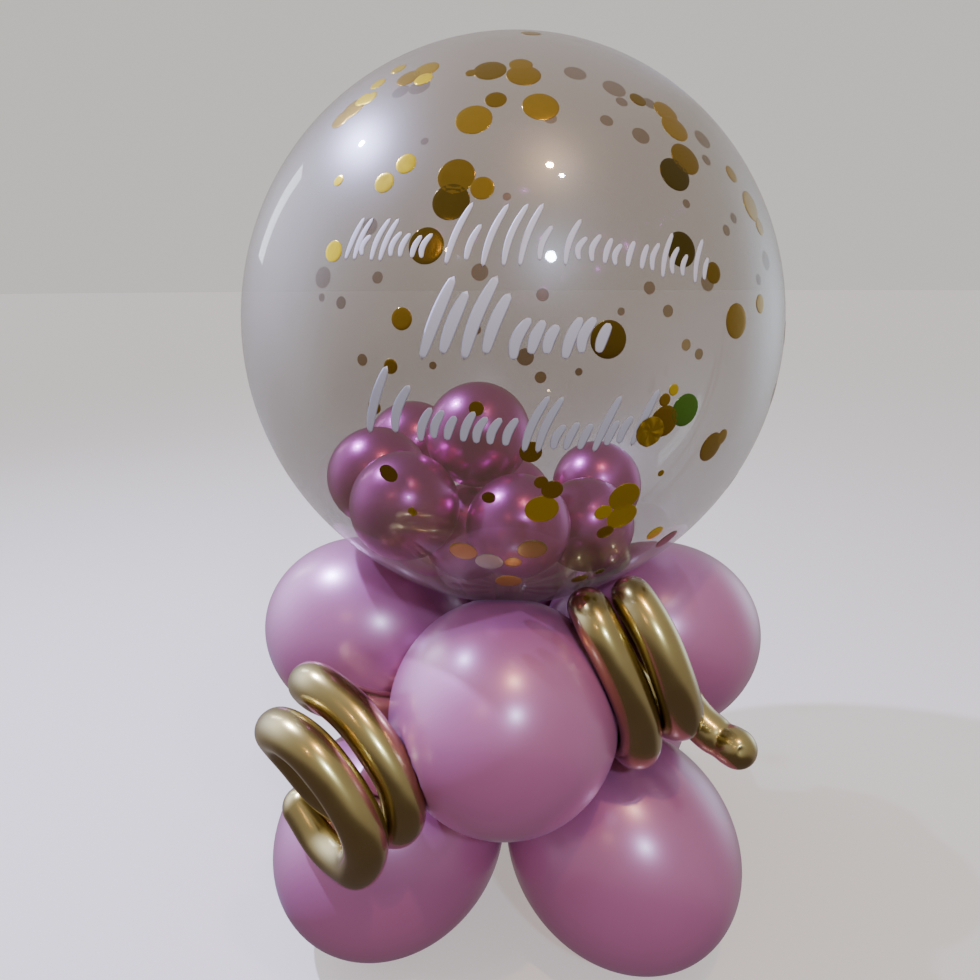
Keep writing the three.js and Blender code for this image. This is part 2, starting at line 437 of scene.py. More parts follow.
# %% [markdown]
# ## The pearl pink balloons
# An inflated latex balloon is an egg shape with its neck drawn in. Where two are pushed
# together they share a flat face, and where a harder thing lies on one it leaves a dent.
# Cloth could be blown up until it settles, but that is slow, and where the skins end up is
# hard to steer. Every balloon is drawn here as rays from its middle instead: each ray is
# cut short by whatever presses on it, and a soft minimum rounds the edge of each contact.

# %% Balloon sizes
# A tier in millimetres and degrees: how far out and up its middles are, and how they tilt.
UPPER_TIER = {"half_length": 126, "half_width": 111, "spoke": 165, "height": 294, "rise": 16}
LOWER_TIER = {
    "half_length": 131, "half_width": 116.5, "spoke": 176.5, "height": 113.5, "rise": -16}
UPPER_HUB_HEIGHT = 216 * MM
LOWER_HUB_HEIGHT = 190 * MM
HUB_RADIUS = 16 * MM
NECK_RADIUS = 4.5 * MM
NECK_ROOT_RADIUS = 30 * MM
NECK_TAPER = 2.4        # higher draws the neck in sooner
KNOT_SWELL = 0.7        # share of the neck's radius
KNOT_PLACE = 0.9        # share of the way from the egg to the hub
KNOT_LENGTH = 0.05
BALLOON_SIDES = 144
BALLOON_RINGS = 96
NECK_RINGS = 22
FACE_ROUNDING = 9 * MM
DENT_ROUNDING = 5 * MM
for tier in (UPPER_TIER, LOWER_TIER):
    print("Balloons", 2 * tier["half_width"], "mm wide,", 2 * tier["half_length"], "mm long")


# %% Where a balloon lies
class Balloon:
    """An egg on its spoke: its size, middle and long axis, and where its neck ends."""
    def __init__(self, name, tier, azimuth, hub_height):
        turn, rise = math.radians(azimuth), math.radians(tier["rise"])
        self.name = name
        self.length, self.width = tier["half_length"] * MM, tier["half_width"] * MM
        self.outward = np.array([math.cos(turn), math.sin(turn), 0])
        self.axis = self.outward * math.cos(rise) + np.array([0, 0, math.sin(rise)])
        self.centre = AXIS + self.outward * tier["spoke"] * MM
        self.centre[2] = tier["height"] * MM
        self.hub = AXIS + self.outward * HUB_RADIUS + np.array([0, 0, hub_height])

    def reach(self, direction):
        """How far the free egg's skin is from its middle, in a direction or in many."""
        along = direction @ self.axis
        return 1 / np.sqrt(along**2 / self.length**2 + (1 - along**2) / self.width**2)


balloons = []
for side, azimuth in (("front", -90), ("right", 0), ("back", 90), ("left", 180)):
    balloons.append(Balloon("upper_balloon_" + side, UPPER_TIER, azimuth, UPPER_HUB_HEIGHT))
for corner, azimuth in (
        ("front_left", -135), ("front_right", -45), ("back_right", 45), ("back_left", 135)):
    balloons.append(Balloon("lower_balloon_" + corner, LOWER_TIER, azimuth, LOWER_HUB_HEIGHT))
print(len(balloons), "latex balloons")


# %% What can cut a ray short
BARELY = 1e-6           # a ray that faces a plane less than this runs along it


def soft_minimum(first, second, rounding):
    """The lesser of two distances, rounded off where they are nearly the same."""
    blend = np.clip(0.5 + 0.5 * (second - first) / rounding, 0, 1)
    return second * (1 - blend) + first * blend - rounding * blend * (1 - blend)


def to_plane(rays, normal, distance):
    """Distance along each ray to a plane; far when the ray runs away from it."""
    facing = rays @ normal
    return np.where(facing > BARELY, distance / np.maximum(facing, BARELY), FAR)


def to_balls(rays, start, centres, radii):
    """Distance along each ray to the nearest of a row of balls; far when it misses."""
    offset = start - centres
    along = rays @ offset.T
    inside = along**2 - ((offset**2).sum(1) - radii**2)
    distance = -along - np.sqrt(np.maximum(inside, 0))
    return np.where((inside > 0) & (distance > 0), distance, FAR).min(1)


def to_bubble(rays, start):
    """The same for the bubble: squeezed in height, the bubble is one ball."""
    stretch = np.array([1, 1, (BUBBLE_RADIUS + GAP) / (BUBBLE_HALF_HEIGHT + GAP)])
    squeezed = rays * stretch
    lengths = np.linalg.norm(squeezed, axis=1)
    distance = to_balls(
        squeezed / lengths[:, None], start * stretch, (BUBBLE_CENTRE * stretch)[None],
        np.array([BUBBLE_RADIUS + GAP]))
    return np.where(distance < FAR, distance / lengths, FAR)


# %% Press the rays of one balloon
BALL_SPACING = 3        # a coil dents like a row of balls, one at every third point
coil_balls = np.vstack([curve[::BALL_SPACING] for curve in coil_curves.values()])
print(len(coil_balls), "balls stand for the coils")


def pressed_reach(balloon, rays):
    """How far the skin is along each ray once everything presses on the balloon."""
    reach = balloon.reach(rays)
    for other in balloons:
        between = other.centre - balloon.centre
        direction = unit(between)
        overlap = balloon.reach(direction) + other.reach(-direction) - np.linalg.norm(between)
        if other is not balloon and overlap > 0:
            face = balloon.reach(direction) - overlap / 2 - GAP / 2
            reach = soft_minimum(reach, to_plane(rays, direction, face), FACE_ROUNDING)
    reach = soft_minimum(reach, to_bubble(rays, balloon.centre), FACE_ROUNDING)
    balls = to_balls(rays, balloon.centre, coil_balls, np.array([COIL_RADIUS + GAP]))
    reach = soft_minimum(reach, balls, DENT_ROUNDING)
    down = np.array([0, 0, -1.0])
    return soft_minimum(reach, to_plane(rays, down, balloon.centre[2]), FACE_ROUNDING)


# %% Rings of one balloon, with its neck
def balloon_rings(balloon):
    around = circle(full_turn(BALLOON_SIDES), *frame_round(balloon.axis))
    neck_angle = math.pi - math.asin(NECK_ROOT_RADIUS / balloon.width)
    rings = []
    for step in range(1, BALLOON_RINGS + 1):
        angle = neck_angle * step / BALLOON_RINGS
        ellipse = (
            balloon.length * math.cos(angle) * balloon.axis
            + balloon.width * math.sin(angle) * around)
        rays = ellipse / np.linalg.norm(ellipse, axis=1)[:, None]
        rings.append(balloon.centre + rays * pressed_reach(balloon, rays)[:, None])
    root = rings[-1]
    for step in range(1, NECK_RINGS + 1):
        share = step / NECK_RINGS
        middle = root.mean(0) * (1 - share) + balloon.hub * share
        shrink = (1 - share) ** NECK_TAPER
        knot = 1 + KNOT_SWELL * math.exp(-(((share - KNOT_PLACE) / KNOT_LENGTH) ** 2))
        radius = NECK_RADIUS * knot
        rings.append(middle + (root - root.mean(0)) * shrink + around * radius * (1 - shrink))
    return np.array(rings)


# %% [markdown]
# Pearl latex is dyed rubber with fine mica in it, so it shines softly from a little way
# under its skin. Flakes could be drawn one by one, but they are too small to see. A little
# metal in the shader stands for the mica, a broad coat for the soft shine of the rubber,
# and a faint bluish sheen for the edges. The colour drifts slightly, as stretched dye does.

# %% Pearl latex finish
pearl = Finish("pearl_pink_latex")
pearl_place = pearl.place()
pearl_flow = pearl.noise(pearl_place, 6.0, 4.0, 1.2)
pearl_grain = pearl.noise(pearl_place, 1400.0, 1.0)
pearl_color = pearl.mix(pearl_flow, rgb(182, 104, 152), rgb(196, 122, 171))
pearl.set({
    "Base Color": pearl_color, "Roughness": 0.33 + pearl_grain * 0.06, "Metallic": 0.3,
    "Coat Weight": 1.0, "Coat Roughness": 0.26, "Coat IOR": 1.6,
    "Sheen Weight": 0.1, "Sheen Roughness": 0.4, "Sheen Tint": rgb(184, 172, 244),
    "Normal": pearl.bump(pearl_grain, 0.08, 0.0003)})

# %% Make the eight
for balloon in balloons:
    rings = balloon_rings(balloon)
    tip = balloon.centre + balloon.axis * pressed_reach(balloon, balloon.axis[None])[0]
    skin = skin_parts(rings, tip, rings[-1].mean(0))
    piece = make_piece(balloon.name + "_latex", [skin], pearl)
    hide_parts(balloon.name)

# %% [markdown]
# ## Winding the gold tubes
# A chrome modelling balloon mirrors its room, broken up by the soft rubber under the
# shine. It could be plain polished metal, but that looks cast. So the metal is slightly
# rough, its colour and roughness drift from place to place, and a sharper coat lies on top.

# %% Gold finish
gold = Finish("chrome_gold_latex")
gold_place = gold.place()
gold_flow = gold.noise(gold_place, 18.0, 3.0, 0.8)
gold_grain = gold.noise(gold_place, 900.0, 1.0)
gold_color = gold.mix(gold_flow, rgb(172, 154, 86), rgb(198, 180, 112))
gold.set({
    "Base Color": gold_color, "Metallic": 1.0, "Roughness": 0.22 + gold_flow * 0.08,
    "Coat Weight": 1.0, "Coat Roughness": 0.11, "Coat IOR": 1.75,
    "Normal": gold.bump(gold_grain, 0.06, 0.0003)})

# %% [markdown]
# A tube is drawn by carrying one ring along the curve without letting it twist. It is
# thin at the hub, full along the turns, and closed by a round end with a soft dimple. A
# curve with a bevel would give the turns, but not the swelling, the waist or the dimple.
# The right tube ends in a knob that faces forward; the left one ends plain, out of sight.

# %% Tube sizes
COIL_SIDES = 48
TIP_RINGS = 26
DIMPLE_DEPTH = 1.1 * MM
DIMPLE_RADIUS = 4.5 * MM
WAIST_PLACE = 15 * MM   # back from where the round end starts
WAIST_LENGTH = 6 * MM
COIL_ENDS = {"left": {"waist": 0.0, "facing": None},
             "right": {"waist": 0.07, "facing": (-0.10, -0.87, 0.48)}}
print("Tube", round(2 * COIL_RADIUS, 4), "m thick")


# %% Tube round a curve
def carry_frames(curve):
    """Along, sideways and up at every point of a curve, carried on without a twist."""
    tangents = np.gradient(curve, axis=0)
    tangents /= np.linalg.norm(tangents, axis=1)[:, None]
    side, _ = frame_round(tangents[0])
    frames = []
    for tangent in tangents:
        side = unit(side - (side @ tangent) * tangent)
        frames.append((tangent, side, np.cross(tangent, side)))
    return frames


def tube_rings(curve, radii, facing):
    """Rings along a curve and round its end, whose dimple may be turned to face a way."""
    turns = full_turn(COIL_SIDES)
    frames = carry_frames(curve)
    rings = []
    for point, radius, (_, side, up) in zip(curve, radii, frames):
        rings.append(point + circle(turns, side, up) * radius)
    tangent, side, _ = frames[-1]
    facing = tangent if facing is None else unit(np.array(facing))
    for step in range(1, TIP_RINGS + 1):
        share = step / (TIP_RINGS + 1)
        pole = unit(tangent * (1 - share) + facing * share)
        side = unit(side - (side @ pole) * pole)
        around = circle(turns, side, np.cross(pole, side))
        angle = 0.5 * math.pi * share
        width = radii[-1] * math.cos(angle)
        dimple = DIMPLE_DEPTH * math.exp(-((width / DIMPLE_RADIUS) ** 2))
        rings.append(curve[-1] + pole * (radii[-1] * math.sin(angle) - dimple) + around * width)
    return np.array(rings), curve[0], curve[-1] + facing * (radii[-1] - DIMPLE_DEPTH)


# %% Wind both coils
for side, curve in coil_curves.items():
    travelled = np.concatenate([[0], np.linalg.norm(np.diff(curve, axis=0), axis=1).cumsum()])
    lead = np.clip(travelled / COIL_LEAD_LENGTH, 0, 1)
    swell = lead**2 * (3 - 2 * lead)    # starts and ends gently
    to_end = travelled[-1] - travelled
    waist = COIL_ENDS[side]["waist"] * np.exp(-(((to_end - WAIST_PLACE) / WAIST_LENGTH) ** 2))
    radii = (COIL_LEAD_RADIUS + (COIL_RADIUS - COIL_LEAD_RADIUS) * swell) * (1 - waist)
    rings, start, end = tube_rings(curve, radii, COIL_ENDS[side]["facing"])
    piece = make_piece(
        f"gold_coil_{side}_latex", [skin_parts(rings, start, end)], gold)
    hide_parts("gold_coil_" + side)

# %% [markdown]
# ## The small chrome balloons
# Nine small round balloons, 10 to 11 cm wide, lie in the bottom of the bubble, on the film
# or on each other. They could be dropped in by a simulation, but placing them one by one
# decides which one shows where. Each is a sphere whose far side is drawn out to a short
# neck, and the necks point backwards and down. Their chrome latex is made as the gold is,
# with a weaker coat.

# %% Chrome mauve finish
mauve = Finish("chrome_mauve_latex")
mauve_place = mauve.place()
mauve_flow = mauve.noise(mauve_place, 14.0, 3.0, 0.8)
mauve_color = mauve.mix(mauve_flow, rgb(202, 78, 162), rgb(232, 128, 208))
mauve.set({
    "Base Color": mauve_color, "Metallic": 0.95, "Roughness": 0.27 + mauve_flow * 0.08,
    "Coat Weight": 0.4, "Coat Roughness": 0.07})

# %% Small balloon places
# In millimetres: right, back and up from the bubble's middle, then the radius.
SMALL_BALLOONS = {
    "small_balloon_top": (-31, -53, -95, 54),
    "small_balloon_left": (-145, -19, -150, 55),
    "small_balloon_back_left": (-124, 94, -142, 57),
    "small_balloon_front_left": (-98, -119, -152, 53),
    "small_balloon_front": (12, -126, -168, 50),
    "small_balloon_right": (84, -38, -196, 51),
    "small_balloon_back_right": (103, 64, -180, 53),
    "small_balloon_back": (-3, 74, -203, 53),
    "small_balloon_bottom": (-42, -46, -203, 52),
}
SMALL_NECK_LENGTH = 9 * MM
SMALL_NECK_ANGLE = 0.22  # radians from the neck over which a sphere is drawn out
SMALL_LAST_RING = math.pi - 0.1     # radians, just short of the neck's tip
SMALL_SIDES = 72
SMALL_RINGS = 54
print(len(SMALL_BALLOONS), "small balloons")


# %% One small balloon
def small_skin(centre, radius, neck):
    around = circle(full_turn(SMALL_SIDES), *frame_round(neck))
    rings = []
    for step in range(1, SMALL_RINGS):
        angle = SMALL_LAST_RING * step / SMALL_RINGS
        drawn = math.exp(-(((math.pi - angle) / SMALL_NECK_ANGLE) ** 2))
        along = -radius * math.cos(angle) + SMALL_NECK_LENGTH * drawn
        rings.append(centre + neck * along + around * radius * math.sin(angle))
    top = centre - neck * radius
    return skin_parts(np.array(rings), top, centre + neck * (radius + SMALL_NECK_LENGTH))


# %% Heap up the nine
small_dice = random.Random(5)
for name, (x, y, z, size) in SMALL_BALLOONS.items():
    centre = BUBBLE_CENTRE + np.array([x, y, z]) * MM
    sideways = small_dice.uniform(-0.5, 0.5)
    backwards = small_dice.uniform(0.2, 1)
    upwards = small_dice.uniform(-0.8, 0)
    neck = unit(np.array([sideways, backwards, upwards]))
    make_piece(name, [small_skin(centre, size * MM, neck)], mauve)

# %% [markdown]
# ## Foil confetti
# Round foil punchings, 6 to 27 mm wide, cling to the inside of the film. They could be
# scattered by chance, but clusters and bare patches are what makes them look real, so
# each is placed one by one: its angle round from the front, its angle up from the bubble's
# middle and its width. They are listed by where they lie and by the gold that they are
# given. Three of these golds are painted light: a darker gold is painted shade for the
# ones that mirror the dark room in front, a brighter gold is painted light for the ones
# that lie low in front of the mauve balloons, and a bright yellow gold is a painted
# highlight for a group mostly on the left and for the two crumpled ones. Others are amber,
# green or silver, and the longest list is on the far side.
# A disc is a very thin closed skin bent to the film. It is let into the film's thickness,
# so the near ones look crisp and the far ones are veiled by the near side of the film.

# %% Places on the film
# Degrees round from the front, degrees up, width in millimetres.
CROWN_DISCS = [
    (-8, 48.5, 9), (-3.5, 49, 25), (4, 50.5, 18), (4.5, 47.5, 26), (-1.5, 41.5, 16),
    (-5.5, 37.5, 27), (7.5, 40, 27), (10, 66, 17), (30.5, 43, 14), (37, 41, 22), (37, 37.5, 25)]
SHOULDER_DISCS = [
    (-7.5, 27.5, 27), (-3, 25.5, 17), (50, 30, 15), (53.5, 24.5, 26), (55, 21, 15),
    (42, 5.5, 27), (50, 8, 15)]
# Painted shade: these discs are given a darker gold than the rest, for the dark room in front that
# they mirror.
PAINTED_SHADE_DISCS = [
    (-8, 23.5, 27), (-11.5, 17, 26), (36, 31.5, 27), (32, 28.5, 27), (30, 16.5, 26),
    (36.5, 13, 16), (16.5, 3.5, 27)]
# Painted highlight: these discs are given a bright yellow gold, for light caught on the foil.
LEFT_YELLOW_DISCS = [
    (-32, 53, 14), (-35, 49, 14), (-34, 45, 15), (-37.5, 43, 24), (-36, 45, 15), (-39.5, 41, 20),
    (-25, 49, 20), (-21, 51, 21), (-20, 48, 15), (-17, 30, 16), (-20.5, 27, 16), (-31, 28, 9),
    (-28.5, 16.5, 16), (28.5, -4.5, 9), (29.5, -19, 6)]
MIDDLE_DISCS = [
    (-15, 6.5, 16), (-17, -0.5, 11), (-20.5, -7, 11), (-3.5, -6.5, 11), (-20, -18.5, 16),
    (-2, -22, 11), (27, -6, 10), (27.5, -9.5, 25), (40.5, -15.5, 26), (43, -14, 14),
    (5, -13.5, 17), (44, -38, 24), (72, 2, 22), (74, -10, 22), (66, -28, 20)]
# Painted light: these low discs in front of the mauve balloons are given a brighter gold than the
# rest.
LOWER_DISCS = [
    (7, -19, 11), (9, -20.5, 17), (7.5, -24.5, 27), (23, -23, 27), (19.5, -26, 15),
    (24, -27.5, 27), (21.5, -31, 15), (36, -34, 17)]
BOTTOM_AMBER_DISCS = [
    (-8.5, -35.5, 24), (2.5, -38.5, 15), (6.5, -34.5, 25), (1.5, -46, 24), (22, -47, 16),
    (27, -45, 10)]
GREEN_DISCS = [(31.5, -8, 26)]
SILVER_DISCS = [(-3, -38.5, 24)]
# The crumpled discs take the same bright yellow gold, a painted highlight.
CRUMPLED_DISCS = [(25, -11, 24), (-17, -26, 8)]
BACK_DISCS = [
    (-142, 51, 10), (-110, 63, 20), (-118, 66, 24), (-132, 26.5, 22), (-118, 13, 26),
    (-137, 13, 16), (-118, 8, 10), (-125, 6.5, 16), (-177, 36, 11), (-169, 14.5, 24),
    (130, 72, 24), (118, 64, 26), (122, 60, 14), (163, 59, 16), (137, 56, 16), (126, 50, 22),
    (108, 57, 16), (97, 44.5, 22), (103, 40, 13), (121, 31, 11), (108, 23.5, 13),
    (103, 26, 12), (91, 16, 20), (97, 12, 12), (119, 11.5, 22), (139, 10, 17), (172, 8, 18),
    (148, 3.5, 11), (133, 4, 16), (126, -4.5, 15), (121, -6.5, 14), (177, -10, 25),
    (172, -16, 17), (160, -14, 11), (-131, -9, 16), (-154, -12, 11), (-173, -3, 14),
    (-168, -2, 14)]

# %% Groups and their tints
# A tint is a share along the foil's colour ramp, and it strays a little from disc to disc.
# The first of these tints is painted shade, a darker copy of the gold; the third is painted light,
# a brighter copy; the fourth is a painted highlight, a bright yellow copy.
PAINTED_SHADE_TINT, GOLD_TINT, PAINTED_LIGHT_TINT, YELLOW_PAINTED_HIGHLIGHT_TINT = 0.0, 0.14, 0.23, 0.3
AMBER_TINT, GREEN_TINT, SILVER_TINT = 0.5, 0.7, 0.9
TINT_STRAY = 0.08
DISC_GROUPS = [
    (CROWN_DISCS, GOLD_TINT), (SHOULDER_DISCS, GOLD_TINT), (LEFT_YELLOW_DISCS, YELLOW_PAINTED_HIGHLIGHT_TINT),
    (MIDDLE_DISCS, GOLD_TINT), (BOTTOM_AMBER_DISCS, AMBER_TINT), (GREEN_DISCS, GREEN_TINT),
    (SILVER_DISCS, SILVER_TINT), (CRUMPLED_DISCS, YELLOW_PAINTED_HIGHLIGHT_TINT), (BACK_DISCS, GOLD_TINT),
    (PAINTED_SHADE_DISCS, PAINTED_SHADE_TINT), (LOWER_DISCS, PAINTED_LIGHT_TINT)]
print(sum(len(discs) for discs, _ in DISC_GROUPS), "discs in", len(DISC_GROUPS), "groups")


# %% A place and a direction on the film
NUDGE = 0.5             # degrees either way, to feel which way the film runs


def film_point(around, up, proud=0.0):
    """The film's point at degrees round from the front and degrees up from the middle."""
    return bubble_point(math.radians(90 + up), math.radians(around - 90), proud)


def film_frame(around, up):
    """A point of the film and the unit vectors to the right and upwards along it."""
    middle = film_point(around, up)
    right = unit(film_point(around + NUDGE, up) - film_point(around - NUDGE, up))
    rise = unit(film_point(around, up + NUDGE) - film_point(around, up - NUDGE))
    return middle, right, rise


def onto_film(point, proud):
    """Where the line from the bubble's middle to a point meets the film, moved out by proud."""
    offset = point - BUBBLE_CENTRE
    flat = math.hypot(offset[0], offset[1])
    angle = math.atan2(flat / BUBBLE_RADIUS, -offset[2] / BUBBLE_HALF_HEIGHT)
    return bubble_point(angle, math.atan2(offset[1], offset[0]), proud)


# %% One disc
# Its outer face in shares of its radius and of half its thickness, from middle to edge.
DISC_PROFILE = [(0.35, 1.0), (0.7, 1.0), (0.97, 1.0), (1.0, 0.6)]
CONFETTI_THICKNESS = 0.3 * MM
CONFETTI_SIDES = 32
CRUMPLE = 1.5 * MM
CRUMPLE_SHARES = (0.1, 0.35)    # the least and the most of it at any one point
confetti_dice = random.Random(11)


def disc_skin(around, up, width, crumple):
    """A thin closed disc in the film. Crumpled, it is creased and stands proud of it."""
    middle, right, rise = film_frame(around, up)
    half = CONFETTI_THICKNESS / 2
    outer = [(share, level * half) for share, level in DISC_PROFILE]
    inner = [(share, -level) for share, level in reversed(outer)]
    rings = []
    for share, level in outer + inner:
        ring = []
        for side in range(CONFETTI_SIDES):
            turn = 2 * math.pi * side / CONFETTI_SIDES
            radius = 0.5 * width * MM * share
            flat = right * radius * math.cos(turn) + rise * radius * math.sin(turn)
            # Three broad folds and seven narrow ones, which wind opposite ways round.
            crease = 2 + math.sin(3 * turn + 7 * share) + math.sin(7 * turn - 5 * share)
            crease *= crumple * confetti_dice.uniform(*CRUMPLE_SHARES)
            ring.append(onto_film(middle + flat, level + crease))
        rings.append(ring)
    return skin_parts(
        np.array(rings), onto_film(middle, half), onto_film(middle, -half))


# %% [markdown]
# Confetti foil is plastic with a thin metal layer, lightly scuffed. Each colour could be a
# material of its own. One material is enough here: every point of the mesh carries its
# disc's tint as an attribute, and a ramp turns that into a colour.

# %% Gold foil finish
foil = Finish("gold_foil")
foil_tint = foil.node("ShaderNodeAttribute", {"attribute_name": "tint"}, {}, output="Fac")
# The ramp's lowest stop is painted shade, and the stops at 0.22 and 0.3 are painted light and a
# painted highlight: darker, brighter and bright yellow copies of the gold at 0.1.
foil_color = foil.node("ShaderNodeValToRGB", {"stops": [
    (0.0, rgb(80, 66, 14)), (0.1, rgb(134, 106, 26)), (0.22, rgb(150, 120, 34)),
    (0.3, rgb(238, 210, 0)), (0.5, rgb(172, 152, 84)), (0.7, rgb(70, 122, 0)),
    (0.9, rgb(168, 186, 146))]},
    {"Fac": foil_tint})
foil_place = foil.place()
foil_scuff = foil.noise(foil_place, 160.0, 3.0)
foil.set({
    "Base Color": foil_color, "Metallic": 0.75, "Roughness": 0.14 + foil_scuff * 0.12,
    "Normal": foil.bump(foil_scuff, 0.2, 0.0004)})

# %% All the confetti in one piece
disc_skins, disc_tints = [], []
for discs, tint in DISC_GROUPS:
    crumple = CRUMPLE if discs is CRUMPLED_DISCS else 0.0
    for around, up, width in discs:
        skin = disc_skin(around, up, width, crumple)
        disc_skins.append(skin)
        stray = confetti_dice.uniform(-TINT_STRAY, TINT_STRAY)
        disc_tints += [tint + stray] * len(skin[0])
make_piece("foil_confetti", disc_skins, foil, disc_tints)

# %% [markdown]
# ## Vinyl strokes
# Three rows of cut vinyl are stuck on the front of the bubble. They are plain slanted
# brush strokes, grouped and sized like a greeting, and they spell nothing. They could be
# a picture laid on the film, but real vinyl has an edge. So each stroke is a shallow
# closed ribbon that swells in the middle and follows the film.

# %% One stroke
VINYL_THICKNESS = 0.3 * MM
STROKE_STEPS = 18
STROKE_SIDES = 8
STROKE_FULLNESS = 0.3   # lower keeps a stroke wide for longer towards its ends


def stroke_skin(start, end, bow, width):
    """A ribbon from one place on the film to another, bowed sideways by degrees."""
    rings = []
    for step in range(1, STROKE_STEPS):
        share = step / STROKE_STEPS
        swing = bow * math.sin(math.pi * share)
        around = start[0] + (end[0] - start[0]) * share + swing
        up = start[1] + (end[1] - start[1]) * share
        middle, right, rise = film_frame(around, up)
        ahead = right * (end[0] - start[0] + bow * math.pi * math.cos(math.pi * share))
        ahead = unit(ahead + rise * (end[1] - start[1]))
        across = unit(right * (ahead @ rise) - rise * (ahead @ right))
        swell = math.sin(math.pi * share) ** STROKE_FULLNESS
        ring = []
        for side in range(STROKE_SIDES):
            turn = 2 * math.pi * side / STROKE_SIDES
            level = VINYL_THICKNESS * (0.5 + 0.5 * math.sin(turn))
            ring.append(onto_film(
                middle + across * 0.5 * width * MM * swell * math.cos(turn), level))
        rings.append(ring)
    return skin_parts(
        np.array(rings), film_point(*start, VINYL_THICKNESS / 2),
        film_point(*end, VINYL_THICKNESS / 2))


# %% Rows of strokes
# Each row: where its foot line runs, as degrees round and up, and its groups as
# (first, last, strokes, short height, tall height, width). First and last are degrees
# round, the heights are degrees up and the width is in millimetres.
VINYL_ROWS = {
    "top": {"foot": [(-27, 16), (-2, 14.6), (12, 14.8), (35, 11.8)], "groups": [
        (-26, -12, 9, 3.6, 6.4, 4.4), (-8, 6, 6, 5.6, 9.2, 4.8), (10, 34, 13, 3.8, 6.8, 4.6)]},
    "middle": {"foot": [(-14, 1.4), (16, 1.6)], "groups": [
        (-12, -2, 4, 9.0, 12.0, 9.4), (2, 15, 6, 5.0, 6.0, 8.8)]},
    "bottom": {"foot": [(-22, -10.6), (0, -12.4), (12, -13.4), (24, -12.2)], "groups": [
        (-22, -17, 2, 8.4, 11.0, 8.0), (-13, 1, 7, 4.8, 5.6, 7.0), (4, 22, 9, 4.8, 9.0, 6.8)]},
}
SLANT = 0.42            # degrees sideways for each degree up
TALL_CHANCE = 0.28      # the first stroke of a group is always tall
TALL_DROP = 0.8         # degrees that a tall stroke starts below the foot line
PLACE_STRAY = 0.25      # degrees
HEIGHT_STRAY = (0.8, 1.1)   # shares of the short height
BOWS = (-0.9, -0.2)     # degrees that the middle of a stroke swings to the left
stroke_dice = random.Random(23)
print(sum(group[2] for row in VINYL_ROWS.values() for group in row["groups"]), "strokes")

# %% [markdown]
# The vinyl is plain grey and nearly matt. Lower down, where the bubble leans away from the
# light, its grey is slightly darker. Each row could have a material of its own, but one
# whose colour changes with height gives every stroke its place in between.

# %% Vinyl finish
VINYL_LOW, VINYL_HIGH = 0.62, 0.72  # metres: the greys change between these heights

vinyl = Finish("grey_vinyl")
vinyl_place = vinyl.place()
vinyl_mottle = vinyl.noise(vinyl_place, 30.0, 2.0)
vinyl_height = vinyl.node("ShaderNodeSeparateXYZ", {}, {"Vector": vinyl_place}, output="Z")
vinyl_rise = vinyl.node("ShaderNodeMapRange", {}, {
    "Value": vinyl_height, "From Min": VINYL_LOW, "From Max": VINYL_HIGH})
vinyl.set({
    "Base Color": vinyl.mix(vinyl_rise, rgb(168, 172, 186), rgb(206, 206, 220)),
    "Roughness": 0.4 + vinyl_mottle * 0.1})


# %% Set the strokes out in rows
def foot_height(foot, around):
    return float(np.interp(around, [p[0] for p in foot], [p[1] for p in foot]))


def row_strokes(row):
    """The strokes of a row: every group is spaced evenly and each stroke strays a little."""
    skins = []
    for first, last, count, short, tall, width in row["groups"]:
        for index in range(count):
            around = first + (last - first) * index / (count - 1)
            around += stroke_dice.uniform(-PLACE_STRAY, PLACE_STRAY)
            is_tall = index == 0 or stroke_dice.random() < TALL_CHANCE
            height = tall if is_tall else short * stroke_dice.uniform(*HEIGHT_STRAY)
            low = foot_height(row["foot"], around) - (TALL_DROP if is_tall else 0)
            bow = stroke_dice.uniform(*BOWS)
            skins.append(stroke_skin(
                (around, low), (around + SLANT * height, low + height), bow, width))
    return skins


for name, row in VINYL_ROWS.items():
    make_piece(f"vinyl_strokes_{name}", row_strokes(row), vinyl)

# %% [markdown]
# ## Stage and light
# The floor is a large pale disc with a little light of its own, so that it stays even out
# to the horizon. It is only a stage, so the skins neither mirror it nor take light from it.

# %% Floor
FLOOR_RADIUS = 60
FLOOR_SIDES = 128
FLOOR_GLOW = 0.49       # strength of its own light

floor_finish = Finish("floor_paint")
floor_finish.set({
    "Base Color": rgb(206, 202, 198), "Roughness": 0.8, "Specular IOR Level": 0.1,
    "Emission Color": rgb(238, 231, 224), "Emission Strength": FLOOR_GLOW})
floor_turns = np.linspace(0, 2 * math.pi, FLOOR_SIDES, endpoint=False)
floor_points = [(FLOOR_RADIUS * math.cos(t), FLOOR_RADIUS * math.sin(t), 0) for t in floor_turns]
floor_mesh = bpy.data.meshes.new("floor")
floor_mesh.from_pydata(floor_points, [], [tuple(range(FLOOR_SIDES))])
floor_mesh.materials.append(floor_finish.material)
floor = bpy.data.objects.new("floor", floor_mesh)
bpy.context.scene.collection.objects.link(floor)
floor.visible_glossy = False
floor.visible_diffuse = False
print("Floor", 2 * FLOOR_RADIUS, "metres wide")

# %% [markdown]
# Shiny skins look like what they mirror, so they need a room. Walls and furniture could be
# built, but a soft sky painted on the world does it with a few tones: dim all round and a
# little paler above, with a bright glow at the left where a window would be, a smaller one
# at the right, and a dark floor below and in front. Light that a matt surface scatters
# comes from a much paler floor, so that the undersides stay pink. The camera itself sees a
# plain backdrop.

